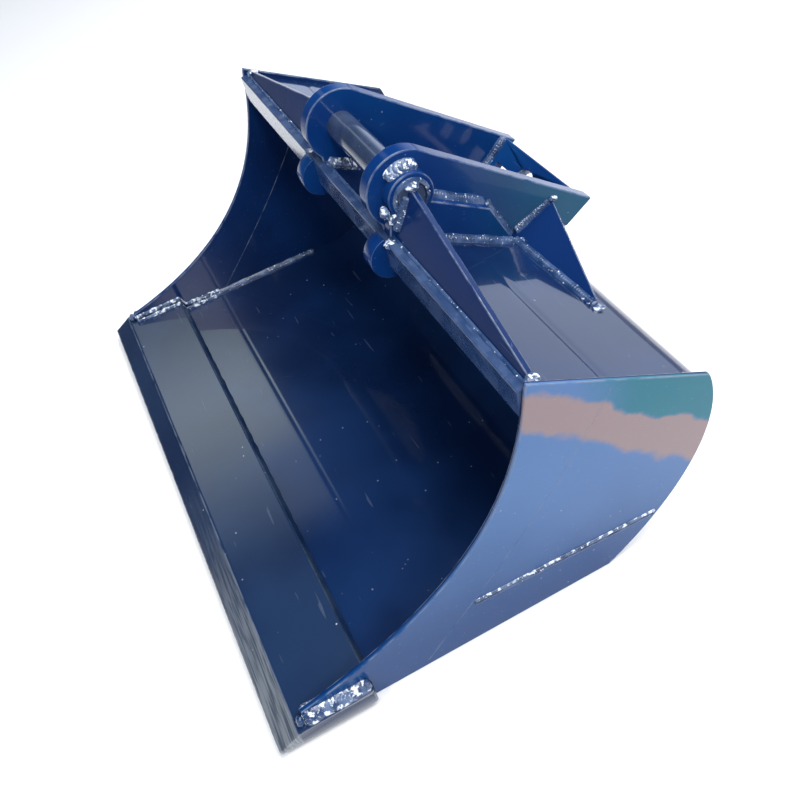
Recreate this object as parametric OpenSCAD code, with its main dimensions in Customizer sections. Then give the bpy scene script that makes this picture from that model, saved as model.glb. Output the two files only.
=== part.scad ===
// Grading bucket with a welded quick-hitch carrier, for a small excavator.
// Millimetres, +Z up. The mouth looks to -Y, the hitch ears stand at +Y.
// Every station below is measured from the cutting edge (Y) and the ground (Z).

/* [Body] */
// outside width over the side plates
body_w = 750; // [600:10:1000]
// side plate thickness
side_t = 6; // [5:1:10]
// rolled shell thickness
shell_t = 8; // [6:1:10]
// how far the side plates stand proud of the shell
overhang = 6; // [4:1:8]
// mouth top corner, back from the cutting edge
mouth_y = 328; // [320:1:336]
// mouth top corner, above the ground
mouth_z = 342; // [336:1:350]
// heel, back from the cutting edge
heel_y = 406; // [395:1:415]
// rear top corner, back from the cutting edge
rear_y = 521; // [512:1:528]
// rear top corner, above the ground
rear_z = 235; // [231:1:239]

/* [Cutting edge] */
// blade depth, front to back
blade_d = 113; // [100:1:125]
// blade thickness
blade_t = 20; // [16:1:24]
// blade underside above the ground
blade_z = 10; // [8:1:12]
// blade lip outside each side plate
blade_lip = 13; // [8:1:20]
// bevel depth, front to back
bevel_d = 26; // [20:1:34]
// blunt height left at the cutting edge
bevel_nose = 5; // [3:1:8]
// start of the side plates behind the cutting edge
nose_y = 37; // [32:1:44]
// height of the side plates at their nose
nose_z = 42; // [38:1:48]

/* [Lip bar] */
// lip bar thickness
bar_t = 12; // [10:1:14]
// lip bar height
bar_h = 34; // [28:1:40]

/* [Hitch] */
// clear gap between the ears
ear_gap = 150; // [140:1:180]
// ear thickness
ear_t = 18; // [15:1:20]
// doubler thickness
doubler_t = 16; // [12:1:18]
// shaft diameter
shaft_d = 35; // [30:0.5:40]
// shaft centre, back from the cutting edge
shaft_y = 361; // [357:1:365]
// shaft centre, above the ground
shaft_z = 368; // [364:1:372]
// radius of the ear lobe
lobe_r = 43; // [40:1:45]
// ear tip, back from the cutting edge
tip_y = 584; // [578:1:590]
// ear tip, above the ground
tip_z = 254; // [250:1:257]
// lock plate thickness
lock_t = 12; // [10:1:14]
// lock plate length down its slope
lock_h = 58; // [56:1:60]
// lock bolt hole diameter
lock_d = 30; // [24:1:34]

/* [Stiffeners] */
// gusset thickness
gusset_t = 8; // [6:1:10]
// front gusset height at the ear
front_h = 54; // [48:1:58]
// rear gusset reach beside the ear
rear_reach = 156; // [120:1:170]
// weld leg
leg = 7; // [5:0.5:8]

/* [Hidden] */
$fn = 96;

half_w = body_w / 2;
inner_w = body_w - 2 * side_t;
inner_x = inner_w / 2;
ear_x = ear_gap / 2;
doubler_x = ear_x + ear_t;
carrier_x = doubler_x + doubler_t;
blade_top = blade_z + blade_t;
paint = [0.03, 0.09, 0.26];
bright = [0.45, 0.5, 0.6];

// the top plate slopes down to the back, slope_s and slope_c are its sine and cosine
slope_run = rear_y - mouth_y;
slope_drop = mouth_z - rear_z;
slope_len = norm([slope_run, slope_drop]);
slope_s = slope_drop / slope_len;
slope_c = slope_run / slope_len;
slope_a = atan2(slope_drop, slope_run);
// a point on the top plate, y from the cutting edge
function top_z(y) = mouth_z - overhang / slope_c - (y - mouth_y) * slope_drop / slope_run;
bar_y = 322;
bar_back = bar_y + bar_t;
bar_top = top_z(bar_back);
bar_low = bar_top - bar_h;
// the ear top edge leaves the lobe as a tangent and runs to the tip
tip_d = norm([tip_y - shaft_y, tip_z - shaft_z]);
edge_a = atan2(tip_z - shaft_z, tip_y - shaft_y) - asin(lobe_r / tip_d);
ear_base = 495;
ear_heel_y = 549;
ear_heel_z = 231;
// the lock plate hangs from its top edge, lock_a below the horizontal towards the front
lock_a = 41;
lock_y = tip_y - 16;
lock_z = tip_z + 11;
bore_gap = 0.2;

function mix3(a, b, c, d, s) =
    pow(1 - s, 3) * a + 3 * pow(1 - s, 2) * s * b + 3 * (1 - s) * s * s * c + pow(s, 3) * d;
function curve(a, b, c, d, n) = [for (i = [0:n]) mix3(a, b, c, d, i / n)];
function heading(p, i) = p[min(i + 1, len(p) - 1)] - p[max(i - 1, 0)];
function inward(v) = [-v[1], v[0]] / norm(v);
// the same path moved inwards by d
function moved(p, d) = [for (i = [0:len(p) - 1]) p[i] + d * inward(heading(p, i))];
// points on an arc round c from angle a to angle b
function arc(c, r, a, b, n) = [for (i = [0:n]) c + r * [cos(a + (b - a) * i / n), sin(a + (b - a) * i / n)]];
function flipped(p) = [for (i = [len(p) - 1:-1:0]) p[i]];

mouth_top = [mouth_y, mouth_z - 3];
front_path = curve([nose_y, nose_z], [329, 112], [320, 330], mouth_top, 40);
back_low = [heel_y, 0];
back_high = [rear_y + 2, rear_z - 4];
back_path = curve(back_low, [heel_y + 106, 70], [545, 165], back_high, 36);
side_outline = concat(
    [[nose_y, blade_top]], front_path, [[mouth_y, mouth_z], [rear_y, rear_z]],
    flipped(back_path), [[blade_d, 0], [blade_d, blade_top]]
);
// the shell follows the side plates: floor, heel bend, back, top bend, top plate
heel_bend = curve([heel_y - 34, 0], [heel_y - 14, 0], [heel_y + 6, 6], [heel_y + 26, 17], 8);
shell_back = [for (i = [7:1:33]) back_path[i]];
top_bend = curve([rear_y + 2, rear_z - 14], [rear_y + 1, rear_z], [rear_y - 9, rear_z + 5],
    [rear_y - 22, rear_z + 12], 6);
shell_line = concat([[heel_y - 60, 0]], heel_bend, shell_back, top_bend,
    [[rear_y - 60, rear_z + 60 * slope_drop / slope_run]]);
shell_out = moved(shell_line, overhang);
shell_in = moved(shell_line, overhang + shell_t);
under_z = top_z(bar_back) - shell_t / slope_c;

// a flat shape drawn in (Y, Z), standing across X from x0 with thickness t
module across(x0, t) {
    translate([x0, -tip_y / 2, 0])
        rotate([90, 0, 90])
            linear_extrude(t)
                children();
}

// the same shape mirrored to the left
module on(side) {
    if (side > 0) children();
    else mirror([1, 0, 0]) children();
}

// work in the plane of the top plate: x along X, y up the slope normal, origin at station y
module on_top(y, z = 0) {
    translate([0, y - tip_y / 2, top_z(y)])
        rotate([-slope_a, 0, 0])
            translate([0, 0, z])
                children();
}

module shell() {
    color(paint)
        across(-inner_x, inner_w)
            polygon(concat(
                [[blade_d, overhang]], shell_out, [[bar_back, top_z(bar_back)]],
                [[bar_back, under_z]], flipped(shell_in), [[blade_d, overhang + shell_t]]
            ));
}

module side_plate(side) {
    color(paint)
        on(side)
            across(inner_x, side_t)
                polygon(side_outline);
}

module blade() {
    color(paint)
        across(-half_w - blade_lip, body_w + 2 * blade_lip)
            polygon([
                [0, blade_z], [0, blade_z + bevel_nose], [bevel_d, blade_top],
                [blade_d, blade_top], [blade_d, blade_z]
            ]);
}

module lip_bar() {
    color(paint)
        across(-inner_x, inner_w)
            translate([bar_y, bar_low])
                square([bar_t, bar_h]);
}

shaft_at = [shaft_y, shaft_z];
neck_y = bar_y + 7;
module ear(side) {
    color(paint)
        on(side)
            across(ear_x, ear_t)
                difference() {
                    polygon(concat(
                        arc(shaft_at, lobe_r, edge_a + 90, 222, 36),
                        [[neck_y, bar_top], [bar_back, bar_top], [ear_base, top_z(ear_base)],
                            [ear_heel_y, ear_heel_z], [tip_y, tip_z]]
                    ));
                    translate(shaft_at)
                        circle(shaft_d / 2 + bore_gap);
                }
}

boss_r = 26;
doubler_top = [446, 313];
doubler_back = 472;
// where the doubler's sloping top edge leaves its boss
boss_a = -36;
doubler_lead = shaft_at + boss_r * [cos(boss_a), sin(boss_a)];
module doubler(side) {
    color(paint)
        on(side)
            across(doubler_x, doubler_t)
                difference() {
                    polygon(concat(
                        arc(shaft_at, boss_r, boss_a, 196, 36),
                        [[neck_y, bar_top], [bar_back, bar_top],
                            [doubler_back, top_z(doubler_back)], doubler_top]
                    ));
                    translate(shaft_at)
                        circle(shaft_d / 2 + bore_gap);
                }
}

hook_t = 20;
hook_r = 25;
hook_back = 352;
module hook(side) {
    color(paint)
        on(side)
            across(carrier_x - hook_t, hook_t)
                difference() {
                    union() {
                        translate([bar_y + 5, bar_low + 11])
                            circle(hook_r);
                        polygon([
                            [bar_y - 6, bar_top - 1], [bar_y - 20, bar_low + 17],
                            [bar_y + 9, bar_low - 14], [hook_back, bar_low - 4],
                            [hook_back, bar_top]
                        ]);
                    }
                    translate([bar_y, bar_low])
                        square([bar_t, 200]);
                    polygon([
                        [bar_back, under_z], [hook_back + 40, under_z - 40 * slope_s - 18 * slope_s],
                        [hook_back + 40, 500], [bar_back, 500]
                    ]);
                }
}

module shaft() {
    color(bright)
        translate([-carrier_x, shaft_y - tip_y / 2, shaft_z])
            rotate([0, 90, 0])
                cylinder(h = 2 * carrier_x, d = shaft_d);
}

// the lock plate lies in its own plane: x across, y down the slope, z through the plate
module in_lock() {
    translate([0, lock_y - tip_y / 2, lock_z])
        rotate([180 + lock_a, 0, 0])
            children();
}

window_w = 36;
window_h = 20;
module lock_plate() {
    color(paint)
        in_lock()
            difference() {
                translate([-ear_x, 0, 0])
                    cube([ear_gap, lock_h, lock_t]);
                translate([0, lock_h / 2, -1])
                    cylinder(h = lock_t + 2, d = lock_d);
                for (side = [-1, 1])
                    translate([side * (ear_x - 15 - window_w / 2) - window_w / 2, 30, -1])
                        cube([window_w, window_h, lock_t + 2]);
            }
}

front_y = bar_back;
module gusset_front(side) {
    color(paint)
        on(side)
            on_top(front_y)
                rotate([90, 0, 0])
                    translate([0, 0, -gusset_t])
                        linear_extrude(gusset_t)
                            polygon([
                                [carrier_x, 0], [carrier_x, front_h],
                                [carrier_x + 8, front_h - 1], [inner_x, 5], [inner_x, 0]
                            ]);
}

rear_foot = 474;
rear_lean = 51;
rear_h = 62;
rear_yaw = 4;
// keep what is above the top plate and outside the ear
module beside_ear() {
    intersection() {
        children();
        on_top(rear_foot)
            translate([doubler_x, -200, 0])
                cube([400, 400, 200]);
    }
}

module gusset_rear(side) {
    color(paint)
        on(side)
            beside_ear()
                on_top(rear_foot)
                    translate([doubler_x, 0, 0])
                        rotate([0, 0, rear_yaw])
                            rotate([rear_lean, 0, 0])
                                translate([0, 0, -gusset_t])
                                    linear_extrude(gusset_t)
                                        polygon([
                                            [-8, -12], [-8, rear_h], [7, rear_h - 2],
                                            [rear_reach, 3], [rear_reach, -12]
                                        ]);
}

// a triangular fillet along X
module fillet_x(y, z, dy, dz, x0, x1) {
    across(x0, x1 - x0)
        polygon([[y, z], [y + dy, z], [y, z + dz]]);
}

module weld_blade() {
    color(bright)
        fillet_x(blade_d, overhang + shell_t, 2 * leg, blade_top - overhang - shell_t,
            -inner_x, inner_x);
}

module weld_floor(side) {
    color(bright)
        on(side)
            translate([0, blade_d + 2 * leg - tip_y / 2, overhang + shell_t])
                rotate([-90, 0, 0])
                    linear_extrude(heel_y - 60 - blade_d - 2 * leg)
                        polygon([[inner_x, 0], [inner_x - leg, 0], [inner_x, -leg]]);
}

module weld_lip(side) {
    color(bright)
        on(side)
            translate([0, nose_y - tip_y / 2, blade_top])
                rotate([-90, 0, 0])
                    linear_extrude(blade_d - nose_y)
                        polygon([[half_w, 0], [half_w + leg, 0], [half_w, -leg]]);
}

bead_y0 = 242;
bead_z0 = 70;
bead_y1 = 465;
bead_z1 = 57;
module bead_side(side) {
    color(bright)
        on(side)
            across(half_w, 3)
                polygon([
                    [bead_y0, bead_z0 - 3], [bead_y1, bead_z1 - 3],
                    [bead_y1, bead_z1 + 3], [bead_y0, bead_z0 + 3]
                ]);
}

module weld_shaft(side) {
    color(bright)
        on(side)
            difference() {
                translate([carrier_x, shaft_y - tip_y / 2, shaft_z])
                    rotate([0, 90, 0])
                        rotate_extrude()
                            polygon([[shaft_d / 2 - 3, 0], [shaft_d / 2 + 7, 0], [shaft_d / 2, 4]]);
                on_top(front_y)
                    translate([0, 0, -20])
                        cube([inner_x, gusset_t, 120]);
            }
}

// a small section carried from p to q, both (Y, Z), at x; the section's -v points away from the edge
module along(p, q, x) {
    run = q - p;
    translate([x, p[0] - tip_y / 2, p[1]])
        rotate([atan2(run[1], run[0]) - 90, 0, 0])
            linear_extrude(norm(run))
                children();
}

module along_top(x, y0, y1) {
    along([y0, top_z(y0)], [y1, top_z(y1)], x)
        children();
}

module weld_ear(side) {
    color(bright)
        on(side)
            along_top(ear_x, bar_back + 2, ear_base - 8)
                polygon([[0, 0], [-leg, 0], [0, -leg]]);
}

// one run along the doubler's top edge and one down its rear edge
module weld_doubler(side) {
    color(bright)
        on(side) {
            along(doubler_lead, doubler_top, doubler_x)
                polygon([[0, 0], [leg, 0], [0, -leg]]);
            along(doubler_top, [doubler_back, top_z(doubler_back)], doubler_x)
                polygon([[0, 0], [leg, 0], [0, -leg]]);
        }
}

module weld_base(side) {
    color(bright)
        on(side)
            along_top(carrier_x, front_y + gusset_t + 2, doubler_back - 4)
                polygon([[0, 0], [leg, 0], [0, -leg]]);
}

module weld_front(side) {
    color(bright)
        on(side)
            on_top(front_y + gusset_t * slope_c)
                translate([carrier_x + leg + 1, 0, 0])
                    rotate([90, 0, 90])
                        linear_extrude(inner_x - carrier_x - leg - 20)
                            polygon([[0, 0], [leg, 0], [0, leg]]);
}

module weld_rear(side) {
    color(bright)
        on(side)
            on_top(rear_foot)
                translate([doubler_x, 0, 0])
                    rotate([0, 0, rear_yaw])
                        translate([leg + 2, 0, 0])
                            rotate([90, 0, 90])
                                linear_extrude(rear_reach - leg - 6)
                                    polygon([[0, 0], [-leg, 0], [0, leg]]);
}

module weld_bar() {
    color(bright)
        fillet_x(bar_back - 8, bar_top, 8, 4, -inner_x, inner_x);
}

module weld_lock(side) {
    color(bright)
        on(side)
            in_lock()
                translate([ear_x, 0, 0])
                    rotate([-90, 0, 0])
                        linear_extrude(lock_h - 10)
                            polygon([[0, 0], [-leg, 0], [0, leg]]);
}

shell();
side_plate(-1);  // side_l
side_plate(1);  // side_r
blade();
lip_bar();
ear(-1);  // ear_l
ear(1);  // ear_r
doubler(-1);  // doubler_l
doubler(1);  // doubler_r
hook(-1);  // hook_l
hook(1);  // hook_r
shaft();
lock_plate();
gusset_front(-1);  // gusset_front_l
gusset_front(1);  // gusset_front_r
gusset_rear(-1);  // gusset_rear_l
gusset_rear(1);  // gusset_rear_r
weld_blade();
weld_floor(-1);  // weld_floor_l
weld_floor(1);  // weld_floor_r
weld_lip(-1);  // weld_lip_l
weld_lip(1);  // weld_lip_r
bead_side(-1);  // bead_side_l
bead_side(1);  // bead_side_r
weld_shaft(-1);  // weld_shaft_l
weld_shaft(1);  // weld_shaft_r
weld_ear(-1);  // weld_ear_l
weld_ear(1);  // weld_ear_r
weld_doubler(-1);  // weld_doubler_l
weld_doubler(1);  // weld_doubler_r
weld_base(-1);  // weld_base_l
weld_base(1);  // weld_base_r
weld_front(-1);  // weld_front_l
weld_front(1);  // weld_front_r
weld_rear(-1);  // weld_rear_l
weld_rear(1);  // weld_rear_r
weld_bar();
weld_lock(-1);  // weld_lock_l
weld_lock(1);  // weld_lock_r
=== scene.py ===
import math

import bpy
import numpy as np
from mathutils import Matrix, Vector


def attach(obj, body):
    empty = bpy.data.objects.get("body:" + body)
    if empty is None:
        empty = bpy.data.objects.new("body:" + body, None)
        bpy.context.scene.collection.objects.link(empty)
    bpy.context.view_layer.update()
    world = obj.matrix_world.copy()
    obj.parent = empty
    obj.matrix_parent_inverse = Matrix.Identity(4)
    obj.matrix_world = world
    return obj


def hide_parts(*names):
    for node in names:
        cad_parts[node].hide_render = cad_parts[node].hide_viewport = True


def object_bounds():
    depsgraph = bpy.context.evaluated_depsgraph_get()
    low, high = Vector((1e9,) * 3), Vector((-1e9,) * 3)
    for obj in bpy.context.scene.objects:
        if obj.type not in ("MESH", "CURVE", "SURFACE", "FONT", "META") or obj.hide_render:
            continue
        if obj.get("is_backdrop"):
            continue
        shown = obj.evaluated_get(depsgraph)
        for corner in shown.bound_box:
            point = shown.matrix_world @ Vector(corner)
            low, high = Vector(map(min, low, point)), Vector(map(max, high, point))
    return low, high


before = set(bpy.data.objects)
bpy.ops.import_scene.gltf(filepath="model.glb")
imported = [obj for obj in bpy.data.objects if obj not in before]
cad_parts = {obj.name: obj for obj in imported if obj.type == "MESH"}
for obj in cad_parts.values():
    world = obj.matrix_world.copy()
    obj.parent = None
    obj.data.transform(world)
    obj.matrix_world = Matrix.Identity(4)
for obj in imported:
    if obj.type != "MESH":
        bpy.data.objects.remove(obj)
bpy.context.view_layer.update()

print("frame loaded:", len(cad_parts), "parts")

# Lengths below are millimetres: x across, y back from the cutting edge, z above the ground.
body = {
    "half": 375, "side": 6, "shell": 8, "overhang": 6,
    "mouth": (328, 342), "heel": 406, "rear": (521, 235), "middle": 292,
    "floorFold": 177, "topFold": 410,
}
inner = body["half"] - body["side"]
mouthY, mouthZ = body["mouth"]
rearY, rearZ = body["rear"]
slopeRun = rearY - mouthY
slopeDrop = mouthZ - rearZ
slopeLength = math.hypot(slopeRun, slopeDrop)
alongX = np.array([1.0, 0, 0])
downSlope = np.array([0, slopeRun, -slopeDrop]) / slopeLength
offSlope = np.array([0, slopeDrop, slopeRun]) / slopeLength


def topZ(y):
    # height of the top plate's outer face
    return mouthZ - body["overhang"] * slopeLength / slopeRun - (y - mouthY) * slopeDrop / slopeRun


def bezier(a, b, c, d, n):
    # cubic blend of two ends and two handles
    s = np.linspace(0, 1, n + 1)[:, None]
    a, b, c, d = (np.array(p, float) for p in (a, b, c, d))
    return (1 - s) ** 3 * a + 3 * (1 - s) ** 2 * s * b + 3 * (1 - s) * s * s * c + s ** 3 * d


def arc(centre, radius, start, end, n):
    # points at equal turns round a centre, angles in degrees
    t = np.radians(np.linspace(start, end, n + 1))[:, None]
    return np.array(centre, float) + radius * np.hstack([np.cos(t), np.sin(t)])


def moved(path, d):
    # the path shifted to its left by d, square to the line through each point's neighbours
    run = np.gradient(path, axis=0)
    run /= np.linalg.norm(run, axis=1)[:, None]
    return path + d * np.stack([-run[:, 1], run[:, 0]], 1)


def wobble(s, size, seed):
    # slow unevenness: five sines of wavelength near size, with seeded phases
    random = np.random.default_rng(seed)
    waves = size * random.uniform(0.5, 1.9, 5)
    phases = random.uniform(0, 2 * np.pi, 5)
    return np.sin(s[..., None] * 2 * np.pi / waves + phases).sum(-1) / 3


def toFrame(points):
    return (np.asarray(points, float) - [0, body["middle"], 0]) / 1000


def loft(rings):
    # closed rings carried along a path: quads between neighbours, one flat face at each end
    count, size = rings.shape[:2]
    i, j = np.meshgrid(np.arange(count - 1), np.arange(size), indexing="ij")
    k = (j + 1) % size
    quads = np.stack([i * size + j, i * size + k, (i + 1) * size + k, (i + 1) * size + j], -1)
    ends = [list(range(size))[::-1], list(range((count - 1) * size, count * size))]
    return rings.reshape(-1, 3), quads.reshape(-1, 4).tolist() + ends


def joined(parts):
    # several meshes as one, each part's face numbers raised by the points before it
    points, faces, start = [], [], 0
    for p, f in parts:
        points.append(p)
        faces += [[n + start for n in face] for face in f]
        start += len(p)
    return np.vstack(points), faces


def outward(part):
    # faces are turned round if the volume under them comes out negative
    points, faces = part
    tris = np.array([[f[0], f[n], f[n + 1]] for f in faces for n in range(1, len(f) - 1)])
    a, b, c = points[tris[:, 0]], points[tris[:, 1]], points[tris[:, 2]]
    if np.einsum("ij,ij->", a, np.cross(b, c)) < 0:
        faces = [f[::-1] for f in faces]
    return points, faces


def mirrored(part, side):
    points, faces = part
    return points * [side, 1, 1], faces


def slab(outline, start, end, origin=(0, 0, 0), u=(0, 1, 0), v=(0, 0, 1), w=(1, 0, 0)):
    # a flat outline in (u, v), standing between two distances along w
    outline = np.asarray(outline, float)
    face = np.asarray(origin, float) + outline[:, :1] * np.asarray(u) + outline[:, 1:] * np.asarray(v)
    return loft(np.stack([face + start * np.asarray(w), face + end * np.asarray(w)]))


def makePiece(name, parts, finish, nodes, bevel=0.0, smooth=32, glintParts=()):
    # the parts given last are meshes of the same piece that take the second weld finish: lighter paint with
    # more painted glints, standing in for highlights
    points, faces = joined([outward(p) for p in [*parts, *glintParts]])
    mesh = bpy.data.meshes.new(name)
    mesh.from_pydata(toFrame(points), [], faces)
    mesh.materials.append(finish)
    if glintParts:
        mesh.materials.append(glintWeld)
        plain = sum(len(f) for _, f in parts)
        picks = (np.arange(len(faces)) >= plain).astype(np.int32)
        mesh.polygons.foreach_set("material_index", picks)
    mesh.shade_smooth()
    mesh.set_sharp_from_angle(angle=math.radians(smooth))
    mesh.update()
    piece = bpy.data.objects.new(name, mesh)
    bpy.context.scene.collection.objects.link(piece)
    if bevel:
        softenEdges(piece, bevel)
    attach(piece, "root")
    if nodes:
        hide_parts(*nodes)
    return piece


def softenEdges(piece, width):
    rounding = piece.modifiers.new("roundedEdges", "BEVEL")
    rounding.width = width / 1000
    rounding.segments = 2
    rounding.limit_method = "ANGLE"
    rounding.angle_limit = math.radians(38)
    rounding.harden_normals = True


class Wire:
    # an output socket that can stand in a sum
    def __init__(self, finish, socket):
        self.finish = finish
        self.socket = socket

    def __add__(self, other):
        return self.finish.maths("ADD", self, other)

    def __sub__(self, other):
        return self.finish.maths("SUBTRACT", self, other)

    def __rsub__(self, other):
        return self.finish.maths("SUBTRACT", other, self)

    def __mul__(self, other):
        return self.finish.maths("MULTIPLY", self, other)

    def __abs__(self):
        return self.finish.maths("ABSOLUTE", self, 0.0)

    def __truediv__(self, other):
        return self.finish.maths("DIVIDE", self, other)

    __radd__ = __add__
    __rmul__ = __mul__


class Finish:
    def __init__(self, tree):
        self.tree = tree
        self.spot = self.node("ShaderNodeTexCoord", {}, {}, "Object")

    def node(self, kind, settings, inputs, output=0):
        made = self.tree.nodes.new(kind)
        for key, value in settings.items():
            setattr(made, key, value)
        for key, value in inputs.items():
            if isinstance(value, Wire):
                self.tree.links.new(value.socket, made.inputs[key])
            else:
                made.inputs[key].default_value = value
        return Wire(self, made.outputs[output])

    def maths(self, operation, a, b):
        return self.node("ShaderNodeMath", {"operation": operation}, {0: a, 1: b})

    def blend(self, mask, a, b):
        a, b = (c if isinstance(c, Wire) else (*c, 1) for c in (a, b))
        return self.node("ShaderNodeMix", {"data_type": "RGBA"}, {0: mask, 6: a, 7: b}, 2)

    def between(self, value, low, high):
        # 0 below low, 1 above high, smooth in the middle
        settings = {"interpolation_type": "SMOOTHSTEP", "clamp": True}
        return self.node("ShaderNodeMapRange", settings, {0: value, 1: low, 2: high, 3: 0.0, 4: 1.0})

    def turned(self, stretch, turn=(0, 0, 0), start=(0, 0, 0)):
        turn = tuple(math.radians(t) for t in turn)
        return self.node("ShaderNodeMapping", {}, {0: self.spot, 1: start, 2: turn, 3: stretch})

    def noise(self, scale, detail=2.0, where=None, rough=0.5):
        inputs = {"Vector": where or self.spot, "Scale": scale, "Detail": detail, "Roughness": rough}
        return self.node("ShaderNodeTexNoise", {}, inputs, 0)

    def cells(self, scale, where=None):
        inputs = {"Vector": where or self.spot, "Scale": scale}
        return self.node("ShaderNodeTexVoronoi", {}, inputs, "Distance")

    def part(self, vector, axis):
        return self.node("ShaderNodeSeparateXYZ", {}, {0: vector}, axis)

    def towards(self, way):
        # cosine between the face and a direction
        normal = self.node("ShaderNodeNewGeometry", {}, {}, "True Normal")
        dot = {"operation": "DOT_PRODUCT"}
        return self.node("ShaderNodeVectorMath", dot, {0: normal, 1: tuple(way)}, "Value")


topStart = toFrame([0, mouthY, mouthZ])


def enamel(name, s):
    # gloss coat over colour: clouded pigment, orange peel, dust nibs, fine scratches, rubbed edges, and
    # where asked painted light, painted reflections and painted glints
    material = bpy.data.materials.new(name)
    material.use_nodes = True
    f = Finish(material.node_tree)
    shader = material.node_tree.nodes["Principled BSDF"]
    cloud = f.between(f.noise(s["cloudScale"], 3.0), 0.35, 0.68)
    peel = f.noise(s["peelScale"], 2.0)
    pull = f.noise(s["pullScale"], 1.0)
    nibs = 1 - f.between(f.cells(s["nibScale"]), 0.035, 0.075)
    patch = f.between(f.noise(9.0, 2.0), 0.48, 0.62)
    lines = f.between(f.noise(1.0, 1.0, f.turned(s["lineStretch"], s["lineTurn"])), 0.735, 0.76)
    turnedBy = abs(f.towards(s["flat"]))
    edge = (f.between(turnedBy, 0.25, 0.4) - f.between(turnedBy, 0.9, 0.96)) * s["edgeWear"]
    worn = edge * f.between(f.noise(55.0, 4.0), 0.3, 0.62)
    colour = f.blend(cloud, s["deep"], s["light"])
    if "outerLitHigh" in s:
        # painted light: the outer faces are painted lighter than the inner ones, and lighter higher up,
        # standing in for the sky they catch
        outerFace = f.between(abs(f.part(f.spot, 0)), (inner + 2.5) / 1000, (inner + 3.5) / 1000)
        paintedLightRise = f.part(f.spot, 2) + f.part(f.spot, 1) * 0.35 + f.noise(3.1, 3.0) * 0.2
        outerPaintedLight = f.blend(f.between(paintedLightRise, 0.12, 0.34), s["outerLitLow"], s["outerLitHigh"])
        # a painted warm reflection that drops and widens towards the rear, with a painted teal reflection
        # above it, both ragged
        rearward = f.part(f.spot, 1) - topStart[1]
        belowTop = rearward * -offSlope[1] + (f.part(f.spot, 2) - topStart[2]) * -offSlope[2]
        ragged = belowTop + (f.noise(18.0, 5.0) - 0.5) * 0.045
        underReflectionEdge = f.between(ragged - rearward * 0.24, 0.006, 0.014)
        warmReflection = underReflectionEdge - f.between(ragged - rearward * 0.36, 0.042, 0.054)
        outerPaintedLight = f.blend(warmReflection * 0.75, outerPaintedLight, s["warmReflectionColour"])
        tealReflection = (1 - underReflectionEdge) * f.between(rearward + f.noise(14.0, 3.0) * 0.06, 0.06, 0.15)
        outerPaintedLight = f.blend(tealReflection * 0.95, outerPaintedLight, s["tealReflectionColour"])
        colour = f.blend(outerFace, colour, outerPaintedLight)
    if "rearTealReflection" in s:
        # painted reflection: a teal tint on the outward faces towards the rear
        outwards = f.between(f.part(f.spot, 0) * f.towards(alongX), 0.06, 0.08)
        colour = f.blend(f.between(f.part(f.spot, 1), 0.1, 0.27) * 0.8 * outwards, colour, s["rearTealReflection"])
    colour = f.blend(worn, colour, s["edgeColour"])
    if "glintBand" in s:
        # painted glints: small near-white patches on the bead stand in for highlights on its ripples
        paintedGlints = f.between(f.noise(s["glintScale"], 2.0, None, 0.6), *s["glintBand"])
        colour = f.blend(paintedGlints, colour, s["glintColour"])
    colour = f.blend(nibs * patch * s["dust"], colour, s["dustColour"])
    colour = f.blend(lines * s["lines"], colour, s["lineColour"])
    roughness = s["rough"] + cloud * 0.04 + lines * 0.2 + worn * 0.12
    height = peel * s["peel"] + pull * s["pull"] + nibs * patch * 0.00004
    if "grit" in s:
        height = height + f.noise(s["gritScale"], 3.0) * s["grit"]
    bump = f.node("ShaderNodeBump", {}, {"Distance": 1.0, "Strength": 1.0, "Height": height}, 0)
    links = material.node_tree.links
    links.new(colour.socket, shader.inputs["Base Color"])
    links.new(roughness.socket, shader.inputs["Roughness"])
    links.new(bump.socket, shader.inputs["Normal"])
    shader.inputs["Coat Weight"].default_value = s["coat"]
    shader.inputs["Coat Roughness"].default_value = s["coatRough"]
    shader.inputs["Metallic"].default_value = s["metal"]
    shader.inputs["Specular IOR Level"].default_value = s["specular"]
    return material


gloss = {
    "deep": (0.004, 0.020, 0.105), "light": (0.008, 0.040, 0.165), "cloudScale": 5.0,
    "peelScale": 260.0, "peel": 0.000012, "pullScale": 9.0, "pull": 0.0012,
    "nibScale": 58.0, "dust": 0.4, "lineStretch": (16.0, 190.0, 700.0), "lineTurn": (35, 0, 20),
    "dustColour": (0.42, 0.46, 0.52), "lineColour": (0.2, 0.25, 0.33), "glintColour": (0.72, 0.78, 0.86),
    "lines": 0.14, "flat": alongX, "edgeWear": 0.8, "edgeColour": (0.16, 0.2, 0.28),
    "rough": 0.14, "coat": 1.0, "coatRough": 0.03, "metal": 0.0, "specular": 0.15,
}
# the plates across also carry a painted teal reflection on their outward faces towards the rear
paintAcross = enamel("paintPlatesAcross", {**gloss, "deep": (0.003, 0.024, 0.125),
                                            "light": (0.004, 0.045, 0.17), "rearTealReflection": (0.003, 0.075, 0.13),
                                            "coat": 0.2, "specular": 0.1})
# painted shade: the shell is painted darker than the plates across, for the inside of the bowl lying in
# shade
shadedShellPaint = enamel("shadedShellPaint", {**gloss, "edgeWear": 0.0, "deep": (0.003, 0.012, 0.05),
                                   "light": (0.006, 0.024, 0.09), "dust": 0.5, "pull": 0.0009})
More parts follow.
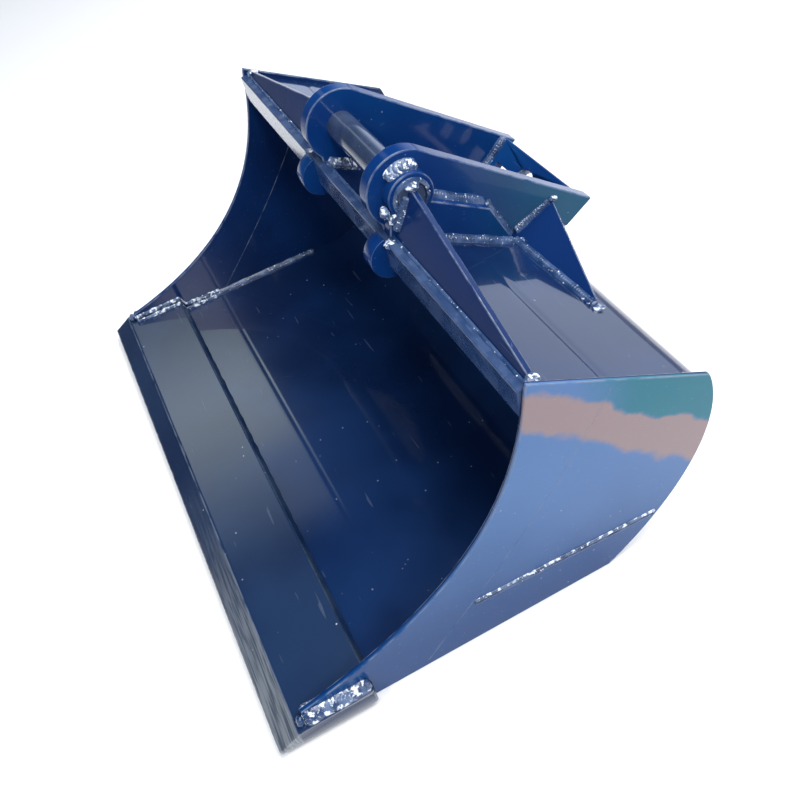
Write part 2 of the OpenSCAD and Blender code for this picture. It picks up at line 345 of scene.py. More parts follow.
# painted light and shade: one paint, with the inner faces painted dark as if shaded and the outer faces
# painted light as if lit
sidePaintLitAndShaded = enamel("sidePaintsLitAndShaded", {**gloss, "deep": (0.003, 0.014, 0.065), "light": (0.005, 0.026, 0.11),
                                  "outerLitLow": (0.003, 0.042, 0.155), "outerLitHigh": (0.065, 0.145, 0.32),
                                  "warmReflectionColour": (0.30, 0.19, 0.14), "tealReflectionColour": (0.002, 0.125, 0.17),
                                  "pullScale": 5.0, "pull": 0.0016, "coat": 0.15})
gussetGloss = {**gloss, "cloudScale": 2.5, "deep": (0.003, 0.016, 0.08), "light": (0.004, 0.022, 0.1),
               "coat": 0.2, "specular": 0.1}
weldGloss = {**gloss, "deep": (0.008, 0.032, 0.10), "light": (0.045, 0.085, 0.19), "cloudScale": 60.0,
             "peelScale": 330.0, "peel": 0.00007, "gritScale": 800.0, "grit": 0.00005, "edgeWear": 0.0,
             "rough": 0.25, "coatRough": 0.1, "dust": 1.0, "lines": 0.0}
paintWeld = enamel("paintWelds", {**weldGloss, "glintScale": 260.0, "glintBand": (0.64, 0.72)})
# painted highlight: a lighter weld paint with more and larger painted glints
glintWeld = enamel("paintedGlintWelds", {**weldGloss, "light": (0.10, 0.15, 0.26), "glintScale": 170.0,
                                    "glintBand": (0.5, 0.62), "peel": 0.00009, "grit": 0.00006})
paintSeam = enamel("paintSeam", {**gloss, "deep": (0.006, 0.018, 0.05), "light": (0.03, 0.05, 0.085),
                                 "cloudScale": 30.0, "peelScale": 400.0, "peel": 0.00003, "edgeWear": 0.0,
                                 "rough": 0.3, "coatRough": 0.12, "dust": 1.0})
print("paints mixed")


def shellLine():
    heelY = body["heel"]
    back = bezier((heelY, 0), (heelY + 106, 70), (545, 165), (rearY + 2, rearZ - 4), 36)
    heelBend = bezier((heelY - 34, 0), (heelY - 14, 0), (heelY + 6, 6), (heelY + 26, 17), 8)
    topBend = bezier((rearY + 2, rearZ - 14), (rearY + 1, rearZ), (rearY - 9, rearZ + 5),
                     (rearY - 22, rearZ + 12), 6)
    last = [[rearY - 60, rearZ + 60 * slopeDrop / slopeRun]]
    return np.vstack([[[heelY - 60, 0]], heelBend, back[7:34], topBend, last])


bladeSet = {"depth": 113, "under": 10, "top": 30, "lip": 13, "bevel": 26, "nose": 5, "endInset": 0.04}
barSet = {"front": 322, "back": 334, "height": 34, "round": 1.8, "uneven": 0.25, "sections": 200}
barTop = topZ(barSet["back"])
barLow = barTop - barSet["height"]
# floorDip and topDip are the depths of the two pressed folds, sag is the pull between welds
shellSet = {"sections": 120, "floorDip": 0.03, "topDip": 0.5, "sag": 0.35, "sagWave": 260, "sagSeed": 3}


def shellPart():
    # the plate's two faces as offsets of one line, closed at the blade and at the bar
    line = shellLine()
    outer, within = moved(line, body["overhang"]), moved(line, body["overhang"] + body["shell"])
    start, fold = bladeSet["depth"], body["floorFold"]
    lowZ, highZ = body["overhang"], body["overhang"] + body["shell"]
    backTop = topZ(barSet["back"])
    underTop = backTop - body["shell"] * slopeLength / slopeRun
    topFold = body["topFold"]

    def onTopFace(y, off=0.0):
        return [y, topZ(y) - off]

    outline = np.vstack([
        [[start, lowZ], [fold - 3, lowZ], [fold, lowZ], [fold + 3, lowZ]], outer,
        [onTopFace(topFold + 9), onTopFace(topFold + 3), onTopFace(topFold, shellSet["topDip"]),
         onTopFace(topFold - 3),
         onTopFace(topFold - 9), onTopFace(barSet["back"]), [barSet["back"], underTop]],
        within[::-1],
        [[fold + 5, highZ], [fold + 1.5, highZ], [fold, highZ - shellSet["floorDip"]],
         [fold - 1.5, highZ], [fold - 5, highZ], [start + 4, highZ], [start, highZ]],
    ])
    x = np.linspace(-inner, inner, shellSet["sections"])
    rings = np.empty((len(x), len(outline), 3))
    rings[..., 0] = x[:, None]
    rings[..., 1:] = outline
    # heat pull: the whole plate sags a little between its welds
    sag = shellSet["sag"] * wobble(x, shellSet["sagWave"], shellSet["sagSeed"])
    rings[..., 2] += (sag * np.sin(np.pi * (x + inner) / (2 * inner)))[:, None]
    return loft(rings)


makePiece("shellPlate", [shellPart()], shadedShellPaint, ["shell"])

frontPath = bezier((37, 42), (329, 112), (320, 330), (mouthY, mouthZ - 3), 60)
backPath = bezier((body["heel"], 0), (body["heel"] + 106, 70), (545, 165), (rearY + 2, rearZ - 4), 60)
sideOutline = np.vstack([
    [[37, bladeSet["top"]]], frontPath, [body["mouth"]], [body["rear"]], backPath[::-1],
    [[bladeSet["depth"], 0], [bladeSet["depth"], bladeSet["top"]]],
])
sides = (("l", -1), ("r", 1))
for hand, side in sides:
    plate = mirrored(slab(sideOutline, inner, body["half"]), side)
    makePiece("sidePlate_" + hand, [plate], sidePaintLitAndShaded, ["side_" + hand], bevel=1.3)
print("shell and side plates")


def bladePart():
    # a rounded section carried across, with the edge line worn by slow and fine unevenness
    s = bladeSet
    corners = [
        (1.2, s["under"]), (0.2, s["under"] + 1.2), (0, s["under"] + s["nose"] - 1),
        (0.8, s["under"] + s["nose"] + 0.4), (2.8, s["under"] + s["nose"] + 1.6),
        (s["bevel"] - 3.2, s["top"] - 1.8), (s["bevel"] - 1.2, s["top"] - 0.6), (s["bevel"] + 1.2, s["top"]),
        (s["bevel"] + 3.2, s["top"]), (s["depth"] - 3.5, s["top"]), (s["depth"] - 1.6, s["top"]),
        (s["depth"] - 0.4, s["top"] - 0.5), (s["depth"], s["top"] - 1.8),
        (s["depth"], s["under"] + 1), (s["depth"] - 1, s["under"]),
    ]
    outline = np.array(corners, float)
    end = body["half"] + s["lip"]
    x = np.concatenate([[-end, -end + 1.2], np.linspace(-end + 4, end - 4, 300), [end - 1.2, end]])
    rings = np.empty((len(x), len(outline), 3))
    rings[..., 0] = x[:, None]
    rings[..., 1:] = outline
    nick = 0.25 + 0.16 * wobble(x, 40, 11) + 0.1 * wobble(x, 9, 12)
    rings[:, 1:5, 1] += nick[:, None]
    rings[:, 3, 2] += 0.2 * wobble(x, 22, 13)
    rings[:, 5:9, 1] += (0.2 * wobble(x, 90, 14))[:, None]
    # both ends are drawn in a little, towards the middle of the section
    for n in (0, -1):
        rings[n, :, 1:] += (outline.mean(0) - rings[n, :, 1:]) * s["endInset"]
    return loft(rings)


def bladeFinish():
    # painted plate with a bevel that was ground after painting towards its right end, and a painted
    # highlight along the bevel's top crease
    s = {**gloss, "deep": (0.006, 0.016, 0.05), "light": (0.012, 0.03, 0.08)}
    material = enamel("paintBlade", {**s, "edgeWear": 0.0, "lines": 0.15, "dust": 1.0, "rough": 0.2,
                                     "coatRough": 0.07, "pull": 0.0007})
    f = Finish(material.node_tree)
    shader = material.node_tree.nodes["Principled BSDF"]
    links = material.node_tree.links
    paint = Wire(f, shader.inputs["Base Color"].links[0].from_socket)
    sheen = Wire(f, shader.inputs["Roughness"].links[0].from_socket)
    y = f.part(f.spot, 1)
    x = f.part(f.spot, 0)
    bevelEnd = (bladeSet["bevel"] - body["middle"]) / 1000
    onBevel = 1 - f.between(y, bevelEnd - 0.0015, bevelEnd + 0.0005)
    towardsEnd = f.between(x + f.noise(6.0, 2.0) * 0.1, 0.02, 0.4)
    streak = f.noise(1.0, 3.0, f.turned((22.0, 500.0, 90.0), (0, 0, 38)))
    ground = f.blend(f.between(streak, 0.35, 0.62), (0.06, 0.075, 0.095), (0.18, 0.2, 0.225))
    colour = f.blend(onBevel * towardsEnd * 0.9, paint, ground)
    # painted highlight: a lighter broken line along the crease where the bevel meets the top
    bevelCreaseHighlight = (f.between(y, bevelEnd - 0.0014, bevelEnd - 0.0006)
                 - f.between(y, bevelEnd + 0.0004, bevelEnd + 0.0012))
    colour = f.blend(bevelCreaseHighlight * f.between(f.noise(30.0, 4.0), 0.3, 0.6) * 0.6, colour, (0.16, 0.19, 0.24))
    links.new(colour.socket, shader.inputs["Base Color"])
    links.new((sheen + onBevel * towardsEnd * 0.22).socket, shader.inputs["Roughness"])
    return material


makePiece("cuttingBlade", [bladePart()], bladeFinish(), ["blade"], smooth=40)


paintBar = enamel("paintBar", {**gloss, "edgeWear": 0.0, "deep": (0.02, 0.045, 0.12), "cloudScale": 40.0,
                               "light": (0.05, 0.085, 0.18), "rough": 0.25, "coatRough": 0.08})


def barPart():
    # the lip bar's section with rounded corners, its top edge left slightly uneven by the torch
    low, high, front, back, r = barLow, barTop, barSet["front"], barSet["back"], barSet["round"]
    outline = []
    for corner, turn in (((back - r, low + r), -90), ((back - r, high - r), 0), ((front + r, high - r), 90),
                         ((front + r, low + r), 180)):
        # each round corner has a point just before and just after it, so that the flats stay flat
        rounded = arc(corner, r, turn, turn + 90, 3)
        ahead = np.array([math.cos(math.radians(turn)), math.sin(math.radians(turn))])
        side = np.array([-ahead[1], ahead[0]])
        outline += [rounded[0] - side * 0.8, *rounded, rounded[-1] - ahead * 0.8]
    outline = np.array(outline)
    x = np.linspace(-inner, inner, barSet["sections"])
    rings = np.empty((len(x), len(outline), 3))
    rings[..., 0] = x[:, None]
    rings[..., 1:] = outline
    rings[:, 6:18, 2] += (barSet["uneven"] * wobble(x, 35, 21))[:, None]
    return loft(rings)


makePiece("lipBar", [barPart()], paintBar, ["lip_bar"])
print("blade and lip bar")


hitch = {
    "gap": 75, "ear": 93, "doubler": 109, "shaft": (361, 368), "radius": 17.5, "ring": 16.8, "lobe": 43,
    "tip": (584, 254), "base": 495, "heel": (549, 231), "neck": 329,
    "boss": 26, "bossTurn": -36, "doublerTop": (446, 313), "doublerBack": 472,
}
shaftAt = np.array(hitch["shaft"], float)
tipRun = np.array(hitch["tip"]) - shaftAt
edgeTurn = math.degrees(math.atan2(tipRun[1], tipRun[0]) - math.asin(hitch["lobe"] / np.hypot(*tipRun)))
neck = [[hitch["neck"], barTop], [barSet["back"], barTop]]
earOutline = np.vstack([
    arc(shaftAt, hitch["lobe"], edgeTurn + 90, 222, 48), neck,
    [[hitch["base"], topZ(hitch["base"])], hitch["heel"], hitch["tip"]],
])
doublerOutline = np.vstack([
    arc(shaftAt, hitch["boss"], hitch["bossTurn"], 196, 40), neck,
    [[hitch["doublerBack"], topZ(hitch["doublerBack"])], hitch["doublerTop"]],
])
for hand, side in sides:
    ear = mirrored(slab(earOutline, hitch["gap"], hitch["ear"]), side)
    makePiece("ear_plate_" + hand, [ear], paintAcross, ["ear_" + hand], bevel=1.6)
    doubler = mirrored(slab(doublerOutline, hitch["ear"], hitch["doubler"]), side)
    makePiece("doubler_plate_" + hand, [doubler], paintAcross, ["doubler_" + hand], bevel=1.6)

# the shaft's radius along x: chamfered ends that stand just proud of the doublers
shaftEnd = hitch["doubler"] + 1.5
shaftSteps = np.array([[-shaftEnd, 12], [-shaftEnd, 14.5], [-shaftEnd + 2.5, 17.4]])
shaftSpan = np.stack([np.linspace(-shaftEnd + 6, shaftEnd - 6, 40), np.full(40, hitch["radius"])], 1)
shaftSteps = np.vstack([shaftSteps, shaftSpan, shaftSteps[::-1] * [-1, 1]])
turn = np.linspace(0, 2 * np.pi, 96, endpoint=False)
shaftRings = np.empty((len(shaftSteps), 96, 3))
shaftRings[..., 0] = shaftSteps[:, :1]
shaftRings[..., 1] = shaftAt[0] + shaftSteps[:, 1:] * np.cos(turn)
shaftRings[..., 2] = shaftAt[1] + shaftSteps[:, 1:] * np.sin(turn)
# on the shaft the lines mask gives strong lighter streaks running along its length
shaftPaint = enamel("paintShaft", {
    **gloss, "deep": (0.02, 0.035, 0.08), "light": (0.06, 0.085, 0.15), "cloudScale": 14.0,
    "lineStretch": (3.0, 260.0, 260.0), "lineTurn": (0, 0, 0), "lines": 0.9, "edgeWear": 0.0,
    "rough": 0.22, "coatRough": 0.08, "pull": 0.0005, "metal": 0.25,
})
makePiece("hitchShaft", [loft(shaftRings)], shaftPaint, ["shaft"], smooth=25)

paintFront = enamel("paintFrontGussets", {**gussetGloss, "flat": downSlope})
frontSet = {"start": 108, "height": 54, "flatEnd": 117, "tip": 5, "plate": 8}
frontFoot = np.array([0, barSet["back"], topZ(barSet["back"])])
frontOutline = [(frontSet["start"], -2), (frontSet["start"], frontSet["height"]),
                (frontSet["flatEnd"], frontSet["height"] - 1), (inner, frontSet["tip"]), (inner, -2)]
rearSet = {"foot": 474, "lean": 51, "yaw": 4, "height": 62, "reach": 156, "plate": 8}
lean, yaw = math.radians(rearSet["lean"]), math.radians(rearSet["yaw"])
rearAlong = alongX * math.cos(yaw) + downSlope * math.sin(yaw)
rearBack = downSlope * math.cos(yaw) - alongX * math.sin(yaw)
rearUp = rearBack * math.cos(lean) + offSlope * math.sin(lean)
rearOff = offSlope * math.cos(lean) - rearBack * math.sin(lean)
paintRear = enamel("paintRearGussets", {**gussetGloss, "flat": rearOff})
rearFoot = np.array([hitch["ear"], rearSet["foot"], topZ(rearSet["foot"])])
rearOutline = [(-6, -1.5), (-6, rearSet["height"]), (7, rearSet["height"] - 2),
               (rearSet["reach"], 3), (rearSet["reach"] + 1, -1.5)]
for hand, side in sides:
    front = mirrored(slab(frontOutline, 0, frontSet["plate"], frontFoot, alongX, offSlope, downSlope), side)
    makePiece("frontGusset_" + hand, [front], paintFront, ["gusset_front_" + hand], bevel=1.2)
    rear = mirrored(slab(rearOutline, -rearSet["plate"], 0, rearFoot, rearAlong, rearUp, rearOff), side)
    makePiece("rearGusset_" + hand, [rear], paintRear, ["gusset_rear_" + hand], bevel=1.2)
print("ears, shaft and gussets")

# the hooks and the lock plate keep their own solids, merged and with softened edges
for node in ("hook_l", "hook_r", "lock_plate"):
    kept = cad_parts[node]
    merge = kept.modifiers.new("merged", "WELD")
    merge.merge_threshold = 0.00001
    softenEdges(kept, 1.4)
    kept.data.materials.clear()
    kept.data.materials.append(paintAcross)


def bead(path, a, b, legA, legB, seed, pitch=3.4, amp=0.12, full=0.55):
    # Fillet section from legA along a to legB along b, between a straight and a round face.
    # Each ripple is a rounded bump with a sharp valley, bowed forwards at the middle of the section.
    path, a, b = np.asarray(path, float), np.asarray(a, float), np.asarray(b, float)
    run = np.concatenate([[0], np.cumsum(np.linalg.norm(np.diff(path, axis=0), axis=1))])
    count = max(int(run[-1] / 0.7), 8)
    s = np.linspace(0, run[-1], count)
    at = np.stack([np.interp(s, run, path[:, n]) for n in range(3)], 1)
    # a direction may be one vector or one for each point of the path
    a, b = (v if v.ndim == 1 else np.stack([np.interp(s, run, v[:, n]) for n in range(3)], 1)
            for v in (a, b))
    u = np.linspace(0, 1, 11)
    t = u * np.pi / 2
    base = (1 - full) / (np.cos(t) + np.sin(t)) + full
    phase = (s / pitch + 0.3 * wobble(s, 24, seed))[:, None] - 0.9 * (2 * u - 1) ** 2
    ripple = 1 + amp * (np.abs(np.sin(np.pi * phase)) - 0.6) * np.sin(np.pi * u) ** 0.5
    swell = 1 + 0.1 * wobble(s, 30, seed + 1)
    ends = np.clip(np.minimum(s, run[-1] - s) / (0.6 * max(legA, legB)), 0, 1)
    ends = 0.25 + 0.75 * np.sqrt(1 - (1 - ends) ** 2)
    r = base * ripple * (swell * ends)[:, None]
    alongA, alongB = np.atleast_2d(a)[:, None, :], np.atleast_2d(b)[:, None, :]
    face = (at[:, None, :] + (r * np.cos(t) * legA)[..., None] * alongA
            + (r * np.sin(t) * legB)[..., None] * alongB)
    root = at[:, None, :] - 0.8 * (alongA + alongB)
    return loft(np.concatenate([face, root + 0 * face[:, :1]], 1))


def row(path, a, b, legA, legB, seed, pitch=3.6, amp=0.26):
    # a half-round bead lying on one face: the fillet section and its mirror image across b
    a = np.asarray(a, float)
    return [bead(path, way * a, b, legA, legB, seed, pitch, amp, 0.9) for way in (1, -1)]


def blob(centre, size, seed):
    # a tack of weld: a round lump whose radius swells by seeded waves, closed at both poles
    lat = np.linspace(0, np.pi, 13)[1:-1, None]
    lon = np.linspace(0, 2 * np.pi, 22, endpoint=False)[None]
    random = np.random.default_rng(seed)
    p = random.uniform(0, 6, 4)
    r = (1 + 0.1 * np.sin(3 * lon + p[0]) * np.sin(lat) + 0.08 * np.sin(5 * lat + p[1])
         + 0.06 * np.sin(7 * lon + 4 * lat + p[2]))
    unit = np.stack([np.sin(lat) * np.cos(lon), np.sin(lat) * np.sin(lon), np.cos(lat) + 0 * lon], -1)
    return loft(np.asarray(centre, float) + unit * r[..., None] * np.asarray(size, float))


def straight(p, q):
    return np.array([p, q], float)


up = np.array([0, 0, 1.0])
back = np.array([0, 1.0, 0])
floorTop = body["overhang"] + body["shell"]


def onTop(x, y, off=0.0):
    return np.array([x, y, topZ(y)]) + off * offSlope


def makeWeld(name, parts, nodes, sideOf=1, glints=()):
    plain, glinting = ([mirrored(p, sideOf) for p in group] for group in (parts, glints))
    makePiece(name, plain, paintWeld, nodes, smooth=60, glintParts=glinting)


seam = straight((-inner, bladeSet["depth"], floorTop), (inner, bladeSet["depth"], floorTop))
seamBead = bead(seam, back, up, 4.5, 12, 31, pitch=4.0, amp=0.08, full=0.2)
rim = seam + [0, -1.2, bladeSet["top"] - floorTop - 0.6]
rimBeads = row(rim, back, up, 1.1, 0.9, 35, 5.0, 0.35)
makePiece("bladeSeam", [seamBead, *rimBeads], paintSeam, ["weld_blade"], smooth=60)
barRun = straight((-inner, barSet["back"], barTop), (inner, barSet["back"], barTop))
makeWeld("barWeld", [bead(barRun, -back, up, 3.2, 1.6, 32, amp=0.25, full=0.9)], ["weld_bar"])
# the ring weld's path round the shaft's end, and the place where the doubler's round end meets its top edge
ringTurn = np.linspace(0, 2 * np.pi, 60)
ringOut = np.stack([0 * ringTurn, np.cos(ringTurn), np.sin(ringTurn)], 1)
ringPath = [hitch["doubler"], *shaftAt] + hitch["ring"] * ringOut
lead = arc(shaftAt, hitch["boss"], hitch["bossTurn"], hitch["bossTurn"], 0)[0]
lockSet = {"turn": 41, "setBack": 16, "rise": 11, "weldLength": 48}
lockTurn = math.radians(lockSet["turn"])
lockTop = np.array([0, hitch["tip"][0] - lockSet["setBack"], hitch["tip"][1] + lockSet["rise"]])
lockDown = np.array([0, -math.cos(lockTurn), -math.sin(lockTurn)])
lockOff = np.array([0, math.sin(lockTurn), -math.cos(lockTurn)])


def edgeBead(p, q, x, seed):
    # along a doubler edge, seen in (y, z); the away side is square to the run
    run = np.array(q, float) - p
    run /= np.hypot(*run)
    away = np.array([0, -run[1], run[0]])
    away *= 1 if away[1] + away[2] > 0 else -1
    return bead(straight((x, *p), (x, *q)), alongX, away, 7, 7, seed)


floorWeldSet = {"start": 126, "end": 346, "leg": 6}
sideBeadSet = {"front": 242, "frontZ": 70, "back": 465, "backZ": 57, "apart": 2.1}
pressSet = {"path": ((177, 8), (232, 66), (330, 150), (413, 290)), "half": 1.2, "rise": 0.95, "sunk": 0.6}
doublerFoot = (hitch["doublerBack"], topZ(hitch["doublerBack"]))
for hand, side in sides:
    seed = 40 + 20 * (side > 0)
    floorRun = straight((inner, floorWeldSet["start"], floorTop), (inner, floorWeldSet["end"], floorTop))
    floorBead = bead(floorRun, -alongX, up, floorWeldSet["leg"], floorWeldSet["leg"], seed, amp=0.08)
    makeWeld("floorWeld_" + hand, [floorBead], ["weld_floor_" + hand], side)
    lipOut = straight((body["half"], 35, bladeSet["top"]), (body["half"], 112, bladeSet["top"]))
    lipParts = [
        blob((body["half"] + 2, 33, bladeSet["top"] + 3), (6, 5, 6), seed + 3),
        blob((body["half"] + 5, 42, bladeSet["top"] + 4), (6, 5, 5), seed + 5),
        blob((body["half"] + 4, 109, bladeSet["top"] + 6), (5, 4, 6), seed + 6),
    ]
    low, high = bladeSet["top"] - 0.5, bladeSet["top"] + 6
    lowRun = [(inner - 5, 37, low), (inner - 5, 111, low), (inner - 5, 117, floorTop),
              (inner - 5, 168, floorTop)]
    highRun = [(inner, 36, high), (inner, 112, high), (inner, 119, floorTop + 7),
               (inner, 176, floorTop + 5)]
    lipGlints = [*row(lowRun, alongX, up, 3.6, 4, seed + 2), *row(highRun, up, -alongX, 3.8, 4, seed + 3),
                 bead(lipOut, alongX, up, 11, 11, seed + 1, pitch=7.0, amp=0.1, full=0.8)]
    makeWeld("lipWeld_" + hand, lipParts, ["weld_lip_" + hand], side, lipGlints)
    beadRun = straight((body["half"] - 1, sideBeadSet["front"], sideBeadSet["frontZ"]),
                       (body["half"] - 1, sideBeadSet["back"], sideBeadSet["backZ"]))
    acrossBead = np.array([0, 0.058, 1.0])
    shift = sideBeadSet["apart"] * acrossBead
    lowerBead = row(beadRun - shift, acrossBead, alongX, 2.2, 3.2, seed + 4, 3.0, 0.2)
    upperBead = row(beadRun + shift, acrossBead, alongX, 1.9, 3.0, seed + 5, 3.4, 0.2)
    makeWeld("sideBead_" + hand, lowerBead, ["bead_side_" + hand], side, upperBead)
    ring = bead(ringPath, ringOut, alongX, 4.5, 2.2, seed + 6, amp=0.12)
    bossTurn = np.radians(np.linspace(132, 52, 30))
    bossOut = np.stack([0 * bossTurn, np.cos(bossTurn), np.sin(bossTurn)], 1)
    bossPath = [hitch["ear"], *shaftAt] + (hitch["boss"] - 0.5) * bossOut
    bossWeld = bead(bossPath, bossOut, alongX, 9, 11, seed + 8, pitch=5.0, amp=0.2)
    makeWeld("shaftWeld_" + hand, [ring], ["weld_shaft_" + hand], side, [bossWeld])
    earRun = straight(onTop(hitch["gap"], 372), onTop(hitch["gap"], 487))
    earStart = straight(onTop(hitch["gap"], 334), onTop(hitch["gap"], 374))
    earBead = bead(earRun, -alongX, offSlope, 6, 6, seed + 7)
    earGlints = bead(earStart, -alongX, offSlope, 7, 7, seed + 9, pitch=4.4, amp=0.2)
    makeWeld("earWeld_" + hand, [earBead], ["weld_ear_" + hand], side, [earGlints])
    doublerParts = [edgeBead(lead, hitch["doublerTop"], hitch["ear"], seed + 8),
                    edgeBead(hitch["doublerTop"], doublerFoot, hitch["ear"], seed + 9)]
    makeWeld("doublerWeld_" + hand, doublerParts, ["weld_doubler_" + hand], side)
    baseRun = straight(onTop(hitch["doubler"], 344), onTop(hitch["doubler"], 468))
    baseBead = bead(baseRun, alongX, offSlope, 7, 7, seed + 10)
    makeWeld("baseWeld_" + hand, [baseBead], ["weld_base_" + hand], side)
    footY = barSet["back"] + frontSet["plate"] * slopeRun / slopeLength
    frontParts = [
        bead(straight(onTop(117, footY), onTop(352, footY)), downSlope, offSlope, 6, 6, seed + 11, amp=0.1),
        bead(straight(onTop(110, footY, 4), onTop(110, footY, 50)), alongX, downSlope,
             6, 6, seed + 12, amp=0.18),
        bead(straight(onTop(110, barSet["back"], 6), onTop(110, barSet["back"], 46)), alongX, -downSlope,
             6, 6, seed + 13, amp=0.18),
    ]
    frontGlints = [
        blob(onTop(inner - 4, barSet["back"] + 3, 4), (6, 8, 4), seed + 14),
        blob((hitch["doubler"] + 2, 363, 380.5), (6, 8, 5), seed + 15),
        blob((hitch["doubler"] - 3, 330, 361), (7, 5, 7), seed + 16),
        blob((hitch["doubler"] - 1, 336, 352), (6, 5, 6), seed + 17),
        blob((hitch["doubler"] + 5, 327, 329), (8, 8, 4), seed + 18),
    ]
    makeWeld("frontWeld_" + hand, frontParts, ["weld_front_" + hand], side, frontGlints)
    rearStart = rearFoot + rearAlong * 9
    rearParts = [
        bead(straight(rearStart, rearFoot + rearAlong * (rearSet["reach"] - 2)), -rearBack, offSlope, 6, 6,
             seed + 17, amp=0.1),
        bead(straight(rearFoot + rearUp * 6, rearFoot + rearUp * (rearSet["height"] - 4)),
             rearAlong, rearOff, 6, 6, seed + 18, amp=0.18),
    ]
    rearGlints = [
        blob(rearFoot + rearUp * rearSet["height"] + [2, 0, 0], (5, 6, 4), seed + 19),
        blob(rearFoot + rearAlong * rearSet["reach"], (6, 7, 3.5), seed + 20),
        blob(onTop(hitch["doubler"], 480, 2), (7, 6, 4), seed + 21),
    ]
    makeWeld("rearWeld_" + hand, rearParts, ["weld_rear_" + hand], side, rearGlints)
    lockStart = lockTop + alongX * hitch["gap"]
    lockRun = straight(lockStart, lockStart + lockDown * lockSet["weldLength"])
    lockBead = bead(lockRun, -alongX, -lockOff, 7, 7, seed + 21)
    makeWeld("lockWeld_" + hand, [lockBead], ["weld_lock_" + hand], side)
    # faint press line on both faces of the side plate
    press = bezier(*pressSet["path"], 40)
    sunk = pressSet["sunk"]
    for name, x, out in (("outerPress_", body["half"] - sunk, 1), ("innerPress_", inner + sunk, -1)):
        pressPath = np.column_stack([np.full(len(press), x), press])
        runs = np.gradient(press, axis=0)
        runs /= np.linalg.norm(runs, axis=1)[:, None]
        away = np.column_stack([np.zeros(len(press)), -runs[:, 1], runs[:, 0]])
        halves = [bead(pressPath, way * away, out * alongX, pressSet["half"], pressSet["rise"], seed + 22,
                       pitch=9.0, amp=0.1) for way in (1, -1)]
        makePiece(name + hand, [mirrored(p, side) for p in halves], sidePaintLitAndShaded, [], smooth=60)
print("welds laid")


floorSet = {"reach": 30, "height": -0.0005, "colour": (0.86, 0.86, 0.86, 1), "rough": 0.7}
floorMesh = bpy.data.meshes.new("floor")
reach = floorSet["reach"]
floorCorners = [(x, y, floorSet["height"]) for x, y in
                ((-reach, -reach), (reach, -reach), (reach, reach), (-reach, reach))]
floorMesh.from_pydata(floorCorners, [], [(0, 1, 2, 3)])
floor = bpy.data.objects.new("floor", floorMesh)
bpy.context.scene.collection.objects.link(floor)
floor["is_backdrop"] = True
floorPaint = bpy.data.materials.new("paleFloor")
floorPaint.use_nodes = True
floorShader = floorPaint.node_tree.nodes["Principled BSDF"]
floorShader.inputs["Base Color"].default_value = floorSet["colour"]
floorShader.inputs["Roughness"].default_value = floorSet["rough"]
floorShader.inputs["Specular IOR Level"].default_value = 0.1
floorMesh.materials.append(floorPaint)

room = bpy.data.worlds.new("studio")
bpy.context.scene.world = room
room.use_nodes = True
sky = Finish(room.node_tree)
ray = sky.node("ShaderNodeTexCoord", {}, {}, "Generated")
aheadX, aheadY, aheadZ = (sky.part(ray, n) for n in range(3))
openSide = sky.between(aheadX, -0.25, 0.25)
horizon = 1 - sky.between(aheadZ, 0.22, 0.5)
behind = sky.between(aheadY, -0.35, 0.45)
skySet = {"open": (0.46, 0.50, 0.58), "dark": (0.012, 0.03, 0.07), "glow": (0.95, 1.08, 1.35),
          "panel": (2.25, 2.6, 2.65), "panelFront": (-0.2, -0.1), "panelBack": (0.072, 0.084),
          "panelStart": (0.72, 1.12), "panelFade": (1.08, 1.42)}
leftSide = sky.blend(horizon * (0.08 + behind * 0.9), skySet["dark"], skySet["glow"])
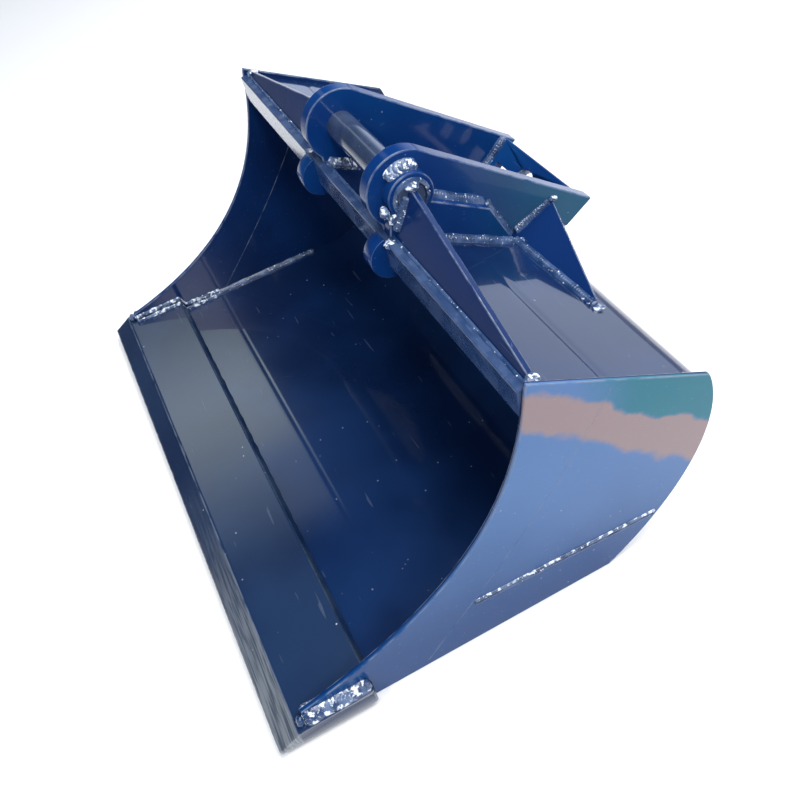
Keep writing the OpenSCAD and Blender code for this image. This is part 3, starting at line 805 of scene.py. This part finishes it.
# a long soft panel high on the left, between two ratios of its side to its height
lift = sky.maths("MAXIMUM", aheadZ, 0.05)
sideways = aheadY / lift
panelDepth = sky.between(sideways, *skySet["panelFront"]) - sky.between(sideways, *skySet["panelBack"])
reachLeft = aheadX / lift * -1.0
panelFade = 1 - sky.between(reachLeft, *skySet["panelFade"]) * 0.7
panelLength = sky.between(reachLeft, *skySet["panelStart"]) * panelFade
leftSide = sky.blend(panelDepth * panelLength, leftSide, skySet["panel"])
skyColour = sky.blend(openSide, leftSide, skySet["open"])
backdrop = room.node_tree.nodes["Background"]
room.node_tree.links.new(skyColour.socket, backdrop.inputs["Color"])
backdrop.inputs["Strength"].default_value = 1.0


def addLight(name, place, aim, size, power):
    lamp = bpy.data.lights.new(name, "AREA")
    lamp.shape = "RECTANGLE"
    lamp.size, lamp.size_y = size
    lamp.energy = power
    holder = bpy.data.objects.new(name, lamp)
    bpy.context.scene.collection.objects.link(holder)
    holder.location = place
    holder.rotation_euler = (Vector(aim) - Vector(place)).to_track_quat("-Z", "Y").to_euler()


# place and aim in metres, size in metres, power in watts
lights = {
    "topSoftbox": ((0.5, 1.1, 3.5), (0.3, 0.5, 0.0), (3.2, 3.2), 175),
    "sparkLamp": ((1.0, -1.6, 2.6), (0, 0, 0.2), (0.12, 0.12), 18),
    "beadLamp": ((2.3, -0.13, 2.03), (-0.3, -0.1, 0), (0.35, 0.6), 26),
    "rimLamp": ((-1.2, 2.4, 1.9), (0, 0.1, 0.3), (0.3, 0.3), 25),
}
for name, settings in lights.items():
    addLight(name, *settings)

cameraSet = {"eye": (0.8061, -0.1845, 0.8570), "azimuth": 75.06, "elevation": 46.14, "roll": 15.3,
             "lens": 38.69}
azimuth, elevation, roll = (math.radians(cameraSet[k]) for k in ("azimuth", "elevation", "roll"))
away = Vector((math.sin(azimuth) * math.cos(elevation), -math.cos(azimuth) * math.cos(elevation),
               math.sin(elevation)))
level = Vector((math.cos(azimuth), math.sin(azimuth), 0))
above = away.cross(level)
right = level * math.cos(roll) - above * math.sin(roll)
lens = bpy.data.cameras.new("camera")
lens.lens = cameraSet["lens"]
lens.sensor_width = 36
lens.clip_start, lens.clip_end = 0.05, 100
camera = bpy.data.objects.new("camera", lens)
bpy.context.scene.collection.objects.link(camera)
turnTo = Matrix((right, away.cross(right), away)).transposed()
camera.matrix_world = Matrix.Translation(cameraSet["eye"]) @ turnTo.to_4x4()
bpy.context.scene.camera = camera
bpy.context.scene.view_settings.view_transform = "Standard"
print("floor, light and camera")

low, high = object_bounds()
